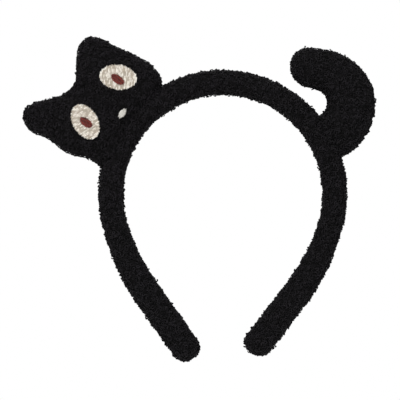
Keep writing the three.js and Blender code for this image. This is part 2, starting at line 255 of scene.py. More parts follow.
lamp("key", (-0.7, -1.0, 1.1), 0.7, 16)
lamp("fill", (0.9, -1.2, 0.3), 0.9, 6)
lamp("rim", (0.2, 1.2, 0.9), 0.8, 8)

BACKDROP = 1.0
AMBIENT = 0.4
world = bpy.data.worlds.new("studio")
world.use_nodes = True
sky = world.node_tree.nodes["Background"]
seen = add_node(world.node_tree, "ShaderNodeLightPath").outputs["Is Camera Ray"]
strength = add_node(world.node_tree, "ShaderNodeMapRange", {}, {
    "Value": seen, "To Min": AMBIENT, "To Max": BACKDROP,
})
sky.inputs["Color"].default_value = (1, 1, 1, 1)
world.node_tree.links.new(strength.outputs[0], sky.inputs["Strength"])
bpy.context.scene.world = world
bpy.context.scene.view_settings.view_transform = "Standard"

FLOOR_DROP = 60 * MM
FLOOR_SIZE = 1.1
bpy.ops.mesh.primitive_plane_add(size=FLOOR_SIZE, location=(0, 0, cad_box[0].z - FLOOR_DROP))
floor = bpy.context.object
floor.name = "floor"
paper = bpy.data.materials.new("studio_paper")
paper.use_nodes = True
paper.node_tree.nodes["Principled BSDF"].inputs["Base Color"].default_value = linear("#fbfbfb")
paper.node_tree.nodes["Principled BSDF"].inputs["Roughness"].default_value = 0.9
floor.data.materials.append(paper)


# %% [markdown]
# ## Materials
#
# Each material is named for the real one. The black fleece is acrylic yarn: matte, with a soft
# sheen from its loose fibres, and slightly different blacks from curl to curl. Its ground between
# the curls is painted darker as shade. Embroidery is rayon or polyester thread, which is
# smoother, so it shines along each stitch.


# %% A material with a mottled colour and a bump
def fabric_material(name, dark, light, patch, grain, rough, sheen, bump=0.4, gloss=0.25, tone=0):
    """`patch` is the size of the colour's patches and `grain` the size of its bumps. `tone` is
    how much a piece's light and dark from its mesh counts beside the patches: random from curl to
    curl or stitch to stitch, and for the fleece also painted shade, since its ground between the
    curls has no tone and comes out darkest."""
    material = bpy.data.materials.new(name)
    material.use_nodes = True
    tree = material.node_tree
    shader = tree.nodes["Principled BSDF"]
    where = add_node(tree, "ShaderNodeTexCoord").outputs["Object"]
    mottle = add_node(tree, "ShaderNodeTexNoise", {}, {
        "Vector": where, "Scale": 1 / patch, "Detail": 3.0, "Roughness": 0.6,
    })
    own = add_node(tree, "ShaderNodeAttribute", {"attribute_name": "tone"}).outputs["Fac"]
    # Corners with no tone, such as the fleece's ground between its curls, take the darkest colour
    # here: painted shade.
    shade = add_node(tree, "ShaderNodeMapRange", {"clamp": False}, {
        "Value": own, "To Min": -tone / 2, "To Max": tone / 2,
    }).outputs[0]
    mixed = add_node(tree, "ShaderNodeMath", {"operation": "ADD"}, {
        0: mottle.outputs["Fac"], 1: shade,
    })
    ramp = add_node(tree, "ShaderNodeValToRGB", {}, {"Fac": mixed.outputs[0]})
    ramp.color_ramp.elements[0].position = 0.35
    ramp.color_ramp.elements[0].color = linear(dark)
    ramp.color_ramp.elements[1].position = 0.68
    ramp.color_ramp.elements[1].color = linear(light)
    fibres = add_node(tree, "ShaderNodeTexNoise", {}, {
        "Vector": where, "Scale": 1 / grain, "Detail": 4.0, "Roughness": 0.7,
    })
    relief = add_node(tree, "ShaderNodeBump", {}, {
        "Height": fibres.outputs["Fac"], "Distance": grain / 2, "Strength": bump,
    })
    tree.links.new(ramp.outputs["Color"], shader.inputs["Base Color"])
    tree.links.new(relief.outputs["Normal"], shader.inputs["Normal"])
    shader.inputs["Roughness"].default_value = rough
    shader.inputs["Specular IOR Level"].default_value = gloss
    shader.inputs["Sheen Weight"].default_value = sheen
    shader.inputs["Sheen Roughness"].default_value = 0.5
    return material


# The fleece's tone also paints its ground between the curls darker, as painted shade.
fleece = fabric_material(
    "black_acrylic_looped_fleece", "#0a090a", "#1e1c1f",
    patch=2.5 * MM, grain=0.25 * MM, rough=0.8, sheen=0.02, gloss=0.09, tone=0.3,
)
cream_thread = fabric_material(
    "cream_rayon_embroidery_thread", "#c2b6a5", "#fffaf0",
    patch=1.2 * MM, grain=0.2 * MM, rough=0.5, sheen=0.15, bump=0.25, tone=0.5,
)
red_thread = fabric_material(
    "dark_red_rayon_embroidery_thread", "#481711", "#7c332b",
    patch=0.9 * MM, grain=0.2 * MM, rough=0.5, sheen=0.1, bump=0.25, tone=0.5,
)
silver_thread = fabric_material(
    "silver_white_rayon_embroidery_thread", "#a5a29c", "#dddad3",
    patch=1 * MM, grain=0.2 * MM, rough=0.45, sheen=0.15, bump=0.25, tone=0.4,
)
black_thread = fabric_material(
    "black_polyester_sewing_thread", "#0a0a0b", "#161517",
    patch=1 * MM, grain=0.15 * MM, rough=0.6, sheen=0.02, bump=0.3, gloss=0.15,
)

steel = fabric_material(
    "polished_spring_steel", "#8d9094", "#b4b7ba",
    patch=4 * MM, grain=0.3 * MM, rough=0.32, sheen=0, bump=0.05,
)
steel.node_tree.nodes["Principled BSDF"].inputs["Metallic"].default_value = 1.0
foam = fabric_material(
    "off_white_polyurethane_foam", "#cfccc2", "#e0ddd4",
    patch=2 * MM, grain=0.5 * MM, rough=0.95, sheen=0, bump=0.8,
)
filling = fabric_material(
    "white_polyester_filling", "#d5d4d0", "#f0efec",
    patch=4 * MM, grain=0.3 * MM, rough=0.95, sheen=0.2, bump=0.8,
)
felt = fabric_material(
    "off_white_backing_felt", "#e2dfd9", "#f2efe9",
    patch=1.5 * MM, grain=0.2 * MM, rough=0.95, sheen=0.1, bump=0.6,
)
vinyl = fabric_material(
    "black_soft_vinyl", "#232325", "#303033",
    patch=5 * MM, grain=1 * MM, rough=0.35, sheen=0, bump=0.05,
)
NODE_MATERIALS = (
    ("spring_strip", steel), ("padding", foam), ("tip_cap", vinyl), ("stuffing", filling),
    ("backing", felt), ("seam", black_thread), ("stitching", black_thread),
)
for name, node in NODES.items():
    for word, material in NODE_MATERIALS:
        if word in name:
            node.data.materials.clear()
            node.data.materials.append(material)

# %% [markdown]
# ## The looped pile
#
# Looped fleece is yarn pulled up through a knitted ground into curls about 2 mm across. No
# bump map gives its crinkled edge, so the curls are real: Geometry Nodes scatter points evenly
# over a base mesh, leave out the places where the base says there is no pile, put one of
# three curls on each point and join them to the base. Each curl gets a random tone, and the
# base, which gets none, is painted darker as shade between the curls. A curl leans by up to
# `CURL_LEAN` about each of two axes, so some lie nearly flat and others stand well up. It has few
# faces, because there are thousands of curls. The base itself is lumpy, as the fabric is.


# %% How a tree starts and ends
def start_tree(name, sizes, extra=()):
    """A tree with a geometry, sizes and a material going in; returns it with its inputs."""
    tree = bpy.data.node_groups.new(name, "GeometryNodeTree")
    tree.interface.new_socket("Geometry", in_out="OUTPUT", socket_type="NodeSocketGeometry")
    kinds = [("Geometry", "Geometry")] + [(size, "Float") for size in sizes]
    for socket, kind in (*kinds, *extra, ("Material", "Material")):
        tree.interface.new_socket(socket, in_out="INPUT", socket_type="NodeSocket" + kind)
    return tree, add_node(tree, "NodeGroupInput").outputs


def end_tree(tree, geometry, material):
    """Makes the instances plain mesh, smooth and painted."""
    plain = add_node(tree, "GeometryNodeRealizeInstances", {}, {"Geometry": geometry}).outputs[0]
    smooth = add_node(tree, "GeometryNodeSetShadeSmooth", {}, {"Geometry": plain}).outputs[0]
    painted = add_node(tree, "GeometryNodeSetMaterial", {}, {
        "Geometry": smooth, "Material": material,
    }).outputs[0]
    add_node(tree, "NodeGroupOutput", {}, {"Geometry": painted})


def toned(tree, instances, low, seed):
    """Gives each instance its own light or dark, from `low` to 1, for the material to read."""
    tone = add_node(tree, "FunctionNodeRandomValue", {"data_type": "FLOAT"}, {
        2: low, 3: 1.0, "Seed": seed,
    }).outputs[1]
    return add_node(
        tree, "GeometryNodeStoreNamedAttribute", {"data_type": "FLOAT", "domain": "INSTANCE"},
        {"Geometry": instances, "Name": "tone", "Value": tone},
    ).outputs[0]


# %% The tree for the pile
CURLS = ((0.95, 0.5), (1.3, 0.7), (0.8, 1.1))
CURL_END = 0.55
CURL_LEAN = math.radians(50)
CURL_RAISE = 0.1
SHORT_CURL = 0.55


def pile_tree():
    """Each curl has its turns and its height as a share of its radius, from `CURLS`."""
    tree, given = start_tree(
        "looped_pile", ("Spacing", "Curl Radius", "Yarn Radius", "Lump Size", "Lump Height"),
        extra=[("Seed", "Int")],
    )
    times = {"operation": "MULTIPLY"}
    place = add_node(tree, "GeometryNodeInputPosition").outputs[0]
    facing = add_node(tree, "GeometryNodeInputNormal").outputs[0]
    pile = add_node(
        tree, "GeometryNodeInputNamedAttribute", {"data_type": "FLOAT"}, {"Name": "pile"},
    ).outputs["Attribute"]

    lump_scale = add_node(tree, "ShaderNodeMath", {"operation": "DIVIDE"}, {
        0: 1, 1: given["Lump Size"],
    }).outputs[0]
    lumps = add_node(tree, "ShaderNodeTexNoise", {}, {
        "Vector": place, "Scale": lump_scale, "Detail": 1.5,
    }).outputs["Fac"]
    centred = add_node(tree, "ShaderNodeMath", {"operation": "SUBTRACT"}, {0: lumps, 1: 0.5})
    swell = add_node(tree, "ShaderNodeMath", times, {
        0: centred.outputs[0], 1: given["Lump Height"],
    })
    swell = add_node(tree, "ShaderNodeMath", times, {0: swell.outputs[0], 1: pile})
    shift = add_node(tree, "ShaderNodeVectorMath", {"operation": "SCALE"}, {
        0: facing, "Scale": swell.outputs[0],
    }).outputs["Vector"]
    ground = add_node(tree, "GeometryNodeSetPosition", {}, {
        "Geometry": given["Geometry"], "Offset": shift,
    }).outputs[0]

    room = add_node(tree, "ShaderNodeMath", times, {0: given["Spacing"], 1: given["Spacing"]})
    most = add_node(tree, "ShaderNodeMath", {"operation": "DIVIDE"}, {0: 2, 1: room.outputs[0]})
    spots = add_node(tree, "GeometryNodeDistributePointsOnFaces", {"distribute_method": "POISSON"}, {
        "Mesh": ground, "Distance Min": given["Spacing"], "Density Max": most.outputs[0],
        "Density Factor": pile, "Seed": given["Seed"],
    })

    yarn = add_node(tree, "GeometryNodeCurvePrimitiveCircle", {}, {
        "Resolution": 4, "Radius": given["Yarn Radius"],
    }).outputs["Curve"]
    end_radius = add_node(tree, "ShaderNodeMath", times, {0: given["Curl Radius"], 1: CURL_END})
    curls = add_node(tree, "GeometryNodeJoinGeometry")
    for turns, height in CURLS:
        rise = add_node(tree, "ShaderNodeMath", times, {0: given["Curl Radius"], 1: height})
        curl = add_node(tree, "GeometryNodeCurveSpiral", {}, {
            "Resolution": 6, "Rotations": turns, "Start Radius": given["Curl Radius"],
            "End Radius": end_radius.outputs[0], "Height": rise.outputs[0],
        }).outputs["Curve"]
        tube = add_node(tree, "GeometryNodeCurveToMesh", {}, {
            "Curve": curl, "Profile Curve": yarn, "Fill Caps": True,
        }).outputs[0]
        instance = add_node(tree, "GeometryNodeGeometryToInstance", {}, {"Geometry": tube})
        tree.links.new(instance.outputs[0], curls.inputs[0])

    lean = add_node(tree, "FunctionNodeRandomValue", {"data_type": "FLOAT_VECTOR"}, {
        "Min": (-CURL_LEAN, -CURL_LEAN, 0), "Max": (CURL_LEAN, CURL_LEAN, math.tau),
        "Seed": given["Seed"],
    }).outputs["Value"]
    as_turn = add_node(tree, "FunctionNodeEulerToRotation", {}, {"Euler": lean}).outputs[0]
    turned = add_node(tree, "FunctionNodeRotateRotation", {"rotation_space": "LOCAL"}, {
        "Rotation": spots.outputs["Rotation"], "Rotate By": as_turn,
    }).outputs[0]
    size = add_node(tree, "FunctionNodeRandomValue", {"data_type": "FLOAT"}, {
        2: 0.75, 3: 1.15, "Seed": given["Seed"],
    }).outputs[1]
    grown = add_node(tree, "ShaderNodeMath", {"operation": "MULTIPLY_ADD"}, {
        0: pile, 1: 1 - SHORT_CURL, 2: SHORT_CURL,
    }).outputs[0]
    size = add_node(tree, "ShaderNodeMath", times, {0: size, 1: grown}).outputs[0]
    which = add_node(tree, "FunctionNodeRandomValue", {"data_type": "INT"}, {
        4: 0, 5: len(CURLS) - 1, "Seed": given["Seed"],
    }).outputs[2]
    clear = add_node(tree, "ShaderNodeMath", times, {0: given["Curl Radius"], 1: CURL_RAISE})
    upwards = add_node(tree, "ShaderNodeVectorMath", {"operation": "SCALE"}, {
        0: spots.outputs["Normal"], "Scale": clear.outputs[0],
    }).outputs["Vector"]
    raised = add_node(tree, "GeometryNodeSetPosition", {}, {
        "Geometry": spots.outputs["Points"], "Offset": upwards,
    }).outputs[0]
    scattered = add_node(tree, "GeometryNodeInstanceOnPoints", {}, {
        "Points": raised, "Instance": curls.outputs[0], "Pick Instance": True,
        "Instance Index": which, "Rotation": turned, "Scale": size,
    }).outputs[0]

    # The ground is joined without a tone, so the fleece paints it darker than the curls: painted
    # shade between them.
    everything = add_node(tree, "GeometryNodeJoinGeometry")
    tree.links.new(toned(tree, scattered, 0.3, given["Seed"]), everything.inputs[0])
    tree.links.new(ground, everything.inputs[0])
    end_tree(tree, everything.outputs[0], given["Material"])
    return tree


PILE = pile_tree()
CURL_SPACING = 1.25 * MM
CURL_RADIUS = 1.0 * MM
YARN_RADIUS = 0.36 * MM
LUMP_SIZE = 3.4 * MM
LUMP_HEIGHT = 2.8 * MM
PILE_HEIGHT = 0.55 * MM


# %% Growing the pile on a base
def run_tree(piece, tree, values):
    """Runs a tree on a piece and keeps the plain mesh. Inputs are set by their identifiers."""
    modifier = piece.modifiers.new(tree.name, "NODES")
    modifier.node_group = tree
    named = {
        item.name: item.identifier
        for item in tree.interface.items_tree
        if item.in_out == "INPUT"
    }
    for name, value in values.items():
        modifier[named[name]] = value
    settle(piece)
    piece.data.polygons.foreach_set("material_index", [0] * len(piece.data.polygons))
    piece.data.materials.clear()
    piece.data.materials.append(values["Material"])
    return piece


def set_pile(piece, shares):
    """Writes how much pile grows at each corner of the base, from 0 to 1."""
    attribute = piece.data.attributes.new("pile", "FLOAT", "POINT")
    attribute.data.foreach_set("value", np.asarray(shares, dtype=np.float32))


EDGE_PILE = 0.35
EDGE_REACH = 1.6 * MM


def panel_pile(outer, corners):
    """The pile on a stuffed shape's outer face, shorter near its seam in the middle plane."""
    rise = [smooth_step(abs(corner.y), 0, EDGE_REACH) for corner in corners]
    return [
        EDGE_PILE + (1 - EDGE_PILE) * share if index < outer else 0.0
        for index, share in enumerate(rise)
    ]


def grow_pile(piece, seed):
    run_tree(piece, PILE, {
        "Spacing": CURL_SPACING, "Curl Radius": CURL_RADIUS, "Yarn Radius": YARN_RADIUS,
        "Lump Size": LUMP_SIZE, "Lump Height": LUMP_HEIGHT, "Seed": seed, "Material": fleece,
    })
    piece.data.attributes.remove(piece.data.attributes["pile"])
    triangles = sum(len(face.vertices) - 2 for face in piece.data.polygons)
    print(piece.name, "triangles:", triangles)
    return piece


# %% [markdown]
# ## The band's cover
#
# The cover is one long sleeve, sewn shut along its inner side and at its tips. It is made as
# rings along the hoop's path, with the section of the frame's cover less the height of the
# pile. It is in two pieces that meet at the top of the crown.


# %% The sleeve's base mesh
SLEEVE_WALL = 1.2 * MM
RING_PITCH = 1.6 * MM
RING_SIDES = 36
DOME_RINGS = 7
SEAM_SIDES = 1.5
SEAM_PILE = 0.4


def band_section(along, angle, inset, tip_share=1.0):
    """A point of the band's section, `inset` inside the cover's outer face."""
    thickness = thickness_at(along)
    outer = thickness * OUTER_SHARE - inset
    inner = thickness * (1 - OUTER_SHARE) - inset
    out = max(tip_share * outer * math.cos(angle), -inner)
    deep = tip_share * (BAND_WIDTH / 2 - inset) * math.sin(angle)
    return on_hoop(along, out, deep)


def sleeve(name, end, inset):
    """Half of the band, from the crown's top to one rounded tip, open at the top."""
    side = -1 if end < 0 else 1
    length = abs(end) - inset
    dome = TIP_DOME - inset
    stops = [(along, 1.0) for along in np.linspace(0, length - dome, round(length / RING_PITCH))]
    for i in range(1, DOME_RINGS):
        angle = i / DOME_RINGS * math.pi / 2
        stops.append((length - dome + dome * math.sin(angle), math.cos(angle)))
    points = []
    for along, tip_share in stops:
        for i in range(RING_SIDES):
            angle = side * i / RING_SIDES * math.tau
            points.append(band_section(side * along, angle, inset, tip_share))
    points.append(on_hoop(side * length, 0, 0))
    faces = tube_faces(len(stops), RING_SIDES)
    last = (len(stops) - 1) * RING_SIDES
    for i in range(RING_SIDES):
        faces.append((last + i, last + (i + 1) % RING_SIDES, len(points) - 1))
    return mesh_object(name, points, faces)


def give_wall(piece, wall):
    """Thickens an open skin inwards; returns how many of its corners are the outer face's."""
    outer = len(piece.data.vertices)
    solidify = piece.modifiers.new("wall", "SOLIDIFY")
    solidify.thickness = wall
    solidify.offset = -1
    settle(piece)
    return outer


def cover(name, end, seed):
    piece = sleeve(name, end, PILE_HEIGHT)
    outer = give_wall(piece, SLEEVE_WALL)
    shares = []
    for index in range(len(piece.data.vertices)):
        on_seam = abs(index % RING_SIDES - RING_SIDES / 2) < SEAM_SIDES
        shares.append(0.0 if index >= outer else SEAM_PILE if on_seam else 1.0)
    set_pile(piece, shares)
    return grow_pile(piece, seed)


cover_left = cover("looped_cover_left", LEFT_END, 11)
cover_right = cover("looped_cover_right", RIGHT_END, 12)


for piece, side, body in ((cover_left, -1, "left_side"), (cover_right, 1, "right_side")):
    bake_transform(piece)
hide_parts("cover_left", "cover_crown")
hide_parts("cover_right")

# %% [markdown]
# ## The stuffed head
#
# The head is two pieces of fleece, sewn together round the edge and stuffed. Its outline is a
# closed curve through the cheeks, the ears and the notch between them. The pillow starts as
# rings that shrink from that outline to the middle of each side while they rise, so the ears
# come out thinner than the cheeks. Then a cloth simulation presses it out from inside with its
# seam held, as stuffing does. The pillow is full already, so this moves it by less than half a
# millimetre. The result is cut into its two panels.

# %% The head's frame and outline
HEAD_TURN = math.radians(-54.9)
HEAD_HALF_DEPTH = 12.5 * MM
CHEEK = 34.5
EAR_TIP = 45.5
NOTCH = 33.8


def in_frame(turn, across, deep, height):
    """A point given across and above the band's outer face, at a turn round the hoop."""
    radius = SEAT_RADIUS + height
    x = across * math.cos(turn) + radius * math.sin(turn)
    z = -across * math.sin(turn) + radius * math.cos(turn)
    return Vector((x, deep, z + CENTRE_Z))


def sewn_height(across):
    """The height, in millimetres, of the hoop's centreline under the head."""
    radius = HOOP_RADIUS / MM
    return math.sqrt(radius**2 - across**2) - SEAT_RADIUS / MM


HEAD_OUTLINE = [
    (CHEEK - 5.4, -6.2),
    (CHEEK - 0.3, 5),
    (CHEEK - 1.4, 17),
    (CHEEK - 4, 29),
    (CHEEK - 5.1, EAR_TIP - 8.4),
    (CHEEK - 8.9, EAR_TIP - 2.7),
    (CHEEK - 15.5, EAR_TIP - 1.4),
    (CHEEK - 23.2, EAR_TIP - 5.4),
    (1, NOTCH),
    (24.5 - CHEEK, NOTCH + 2.6),
    (15.5 - CHEEK, EAR_TIP - 1.9),
    (8 - CHEEK, EAR_TIP + 2),
    (2.2 - CHEEK, EAR_TIP - 1.5),
    (-CHEEK, EAR_TIP - 8),
    (2 - CHEEK, 28),
    (2.2 - CHEEK, 14),
    (6.6 - CHEEK, 2.4),
    (8.2 - CHEEK, sewn_height(8.2 - CHEEK)),
    (10 - CHEEK / 2, sewn_height(10 - CHEEK / 2)),
    (CHEEK / 2 - 6, sewn_height(CHEEK / 2 - 6)),
]


# %% A pillow from an outline
def closed_curve(corners, steps):
    """A smooth closed curve through the corners, loose where they are far apart."""
    corners = [Vector(corner) for corner in corners]
    count = len(corners)
    curve = []
    for i in range(count):
        p0, p1, p2, p3 = (corners[(i + k - 1) % count] for k in range(4))
        d0, d1, d2 = ((b - a).length ** 0.5 for a, b in ((p0, p1), (p1, p2), (p2, p3)))
        start = ((p1 - p0) / d0 - (p2 - p0) / (d0 + d1)) * d1 + (p2 - p1)
        end = ((p3 - p2) / d2 - (p3 - p1) / (d1 + d2)) * d1 + (p2 - p1)
        for k in range(steps):
            t = k / steps
            bend = p1 * (1 + 2 * t) * (1 - t) ** 2 + p2 * (3 - 2 * t) * t**2
            curve.append(bend + start * t * (1 - t) ** 2 - end * t**2 * (1 - t))
    return curve


def pillow(name, outline, middle, half_depth, inset):
    """Rings from the outline up to the middle of each side, in the outline's own plane."""
    count = len(outline)
    rings = 27
    rim = []
    for i, corner in enumerate(outline):
        along = (outline[(i + 1) % count] - outline[i - 1]).normalized()
        rim.append(corner - Vector((along.y, -along.x)) * inset)
    points = []
    for ring in range(1, rings + 1):
        angle = ring / (rings + 1) * math.pi
        share = math.sin(angle)
        for corner in rim:
            place = middle.lerp(corner, share)
            points.append((place.x, place.y, (half_depth - inset) * math.cos(angle)))
    for side in (1, -1):
        points.append((middle.x, middle.y, side * (half_depth - inset)))
    faces = tube_faces(rings, count)
    last = (rings - 1) * count
    for i in range(count):
        j = (i + 1) % count
        faces.append((i, j, len(points) - 2))
        faces.append((last + j, last + i, len(points) - 1))
    return even_mesh(mesh_object(name, points, faces))


def even_mesh(piece):
    remesh = piece.modifiers.new("even", "REMESH")
    remesh.mode = "VOXEL"
    remesh.voxel_size = VOXEL
    return settle(piece)


def corners_of(piece):
    flat = np.empty(len(piece.data.vertices) * 3)
    piece.data.vertices.foreach_get("co", flat)
    return flat.reshape(-1, 3)


def move_corners(piece, places):
    piece.data.vertices.foreach_set("co", np.asarray(places, dtype=np.float32).ravel())
    piece.data.update()


# %% Stuffing by cloth simulation
SIMULATION_SCALE = 8
SIMULATION_FRAMES = 20


def stuff(piece, seam, pressure, most):
    """Blows a closed pouch up from inside. `seam` gives how firmly each corner is held, and no
    corner moves more than `most`. It runs at eight times the size, where cloth settles well."""
    start = corners_of(piece)
    move_corners(piece, start * SIMULATION_SCALE)
    group = piece.vertex_groups.new(name="seam")
    for index, hold in enumerate(seam):
        if hold > 0:
            group.add([index], float(hold), "REPLACE")
    cloth = piece.modifiers.new("stuffing", "CLOTH")
    settings = cloth.settings
    settings.quality = 6
    settings.tension_stiffness = 12
    settings.compression_stiffness = 12
    settings.shear_stiffness = 6
    settings.bending_stiffness = 0.8
    settings.use_pressure = True
    settings.uniform_pressure_force = pressure
    settings.vertex_group_mass = "seam"
    settings.effector_weights.gravity = 0
    cloth.collision_settings.use_collision = False
    scene = bpy.context.scene
    for number in range(1, SIMULATION_FRAMES + 1):
        scene.frame_set(number)
    seen = piece.evaluated_get(bpy.context.evaluated_depsgraph_get())
    flat = np.empty(len(piece.data.vertices) * 3)
    seen.data.vertices.foreach_get("co", flat)
    moved = flat.reshape(-1, 3) / SIMULATION_SCALE - start
    length = np.linalg.norm(moved, axis=1, keepdims=True)
    print(piece.name, "stuffing moved it, mm, at most:", round(length.max() / MM, 2))
    moved *= np.minimum(1, most / np.maximum(length, 1e-9))
    piece.modifiers.clear()
    piece.vertex_groups.clear()
    scene.frame_set(1)
    move_corners(piece, start + moved)
    return piece


# %% The head's pillow, stuffed
VOXEL = 1.4 * MM
HEAD_MIDDLE = Vector((2.5, 16)) * MM
HEAD_SEAM = 0.8 * MM
MOST_STUFFING = 1 * MM

outline = [corner * MM for corner in closed_curve(HEAD_OUTLINE, 8)]
head = pillow("stuffed_head", outline, HEAD_MIDDLE, HEAD_HALF_DEPTH, PILE_HEIGHT)
level = np.abs(corners_of(head)[:, 2])
stuff(head, np.where(level < HEAD_SEAM, 1.0, 0.0), pressure=4, most=MOST_STUFFING)
print("head corners:", len(head.data.vertices))


# %% Placing a pouch on the band and cutting it into panels
PANEL_TUCK = 0.4 * MM
WELL_OUTSIDE = 40 * MM


def place_pouch(piece, turn):
    """From its own plane (across, height, depth) to its place on the hoop."""
    points = corners_of(piece)
    placed = [in_frame(turn, across, -depth, height) for across, height, depth in points]
    move_corners(piece, placed)
    return piece


def refine(piece):
    subdivide = piece.modifiers.new("finer", "SUBSURF")
    subdivide.levels = 1
    subdivide.render_levels = 1
    return settle(piece)


def in_band(point, tuck):
    """True where a point is inside the band by more than `tuck`."""
    radius = math.hypot(point.x, point.z - CENTRE_Z)
    out = (radius - HOOP_RADIUS) / (CROWN_THICKNESS * OUTER_SHARE - tuck)
    return radius < HOOP_RADIUS or out**2 + (point.y / (BAND_WIDTH / 2 - tuck)) ** 2 < 1


def panel(name, whole, side):
    """The front (-1) or back (1) of a stuffed piece, open where it is sewn to the band."""
    mesh = bpy.data.meshes.new(name)
    half = bmesh.new()
    half.from_mesh(whole.data)
    bmesh.ops.delete(
        half, geom=[v for v in half.verts if in_band(v.co, PANEL_TUCK)], context="VERTS",
    )
    bmesh.ops.bisect_plane(
        half, geom=half.verts[:] + half.edges[:] + half.faces[:],
        plane_co=(0, 0, 0), plane_no=(0, -side, 0), clear_outer=True,
    )
    bmesh.ops.recalc_face_normals(half, faces=half.faces[:])
    half.to_mesh(mesh)
    half.free()
    return new_object(name, mesh)


def surface_of(piece):
    """The piece's surface as it is now, for laying stitches on."""
    return BVHTree.FromPolygons(
        [v.co.copy() for v in piece.data.vertices], [p.vertices[:] for p in piece.data.polygons],
    )


def on_surface(surface, turn, across, height, side):
    """The surface's place at the front (-1) or back (1), and the way it faces there."""
    outside = in_frame(turn, across, side * WELL_OUTSIDE, height)
    place, facing, _, _ = surface.ray_cast(outside, Vector((0, -side, 0)))
    if place is not None and facing.y * side < 0:
        facing = -facing
    return place, facing


PANEL_WALL = 1.2 * MM

place_pouch(head, HEAD_TURN)
refine(head)

# %% [markdown]
# ## The embroidery
#
# The eyes are filled with rows of thread that run across the short way of each oval, the
# pupils lie over them and the mouth is a few fat stitches. Each row is laid on the stuffed
# surface: Python finds the places and Geometry Nodes put one rounded stitch on each. The same
# tree makes the hand stitches of the seams.

# %% Where the embroidery is
EYE_LENGTH = 20.4 * MM
EYE_WIDTH = 13.5 * MM
PUPIL_LENGTH = 8 * MM
PUPIL_WIDTH = 4.1 * MM
MOUTH_LENGTH = 5.7 * MM
MOUTH_WIDTH = 3 * MM

PATCHES = {
    "eye_left": (-12.4 * MM, 16 * MM, EYE_LENGTH, EYE_WIDTH, 22.5),
    "eye_right": (17.6 * MM, 16 * MM, EYE_LENGTH, EYE_WIDTH, -28),
    "pupil_left": (-12.4 * MM, 15.5 * MM, PUPIL_LENGTH, PUPIL_WIDTH, 0),
    "pupil_right": (16.4 * MM, 15.5 * MM, PUPIL_LENGTH, PUPIL_WIDTH, 0),
    "mouth": (3.2 * MM, 2.8 * MM, MOUTH_LENGTH, MOUTH_WIDTH, 90),
}


def patch_axes(lean):
    """A patch's long and short directions in the head's plane, leaning from upright."""
    turn = math.radians(lean)
    return Vector((math.sin(turn), math.cos(turn))), Vector((math.cos(turn), -math.sin(turn)))


def head_plane(point):
    """A point's place in the head's own plane: across and height."""
    x, z = point.x, point.z - CENTRE_Z
    across = x * math.cos(HEAD_TURN) - z * math.sin(HEAD_TURN)
    up = x * math.sin(HEAD_TURN) + z * math.cos(HEAD_TURN)
    return Vector((across, up - SEAT_RADIUS))


def in_patch(point, name, grow):
    across, height, length, width, lean = PATCHES[name]
    long_way, short_way = patch_axes(lean)
    away = head_plane(point) - Vector((across, height))
    return math.hypot(
        away.dot(long_way) / (length / 2 + grow), away.dot(short_way) / (width / 2 + grow),
    )


# %% The head's two panels, with their pile
BARE_MARGIN = 0.8 * MM


def head_panel(name, side, seed):
    piece = panel(name, head, side)
    outer = give_wall(piece, PANEL_WALL)
    corners = [corner.co for corner in piece.data.vertices]
    shares = panel_pile(outer, corners)
    for patch in ("eye_left", "eye_right", "mouth") if side < 0 else ():
        for index, corner in enumerate(corners):
            if in_patch(corner, patch, BARE_MARGIN) < 1:
                shares[index] = 0.0
    set_pile(piece, shares)
    return piece


head_front = head_panel("head_front_panel", -1, 21)
head_back = head_panel("head_back_panel", 1, 22)
FACE = surface_of(head)
grow_pile(head_front, 21)
grow_pile(head_back, 22)
bpy.data.objects.remove(head)


# %% The tree for stitches
STITCH_BLUNTNESS = 0.35


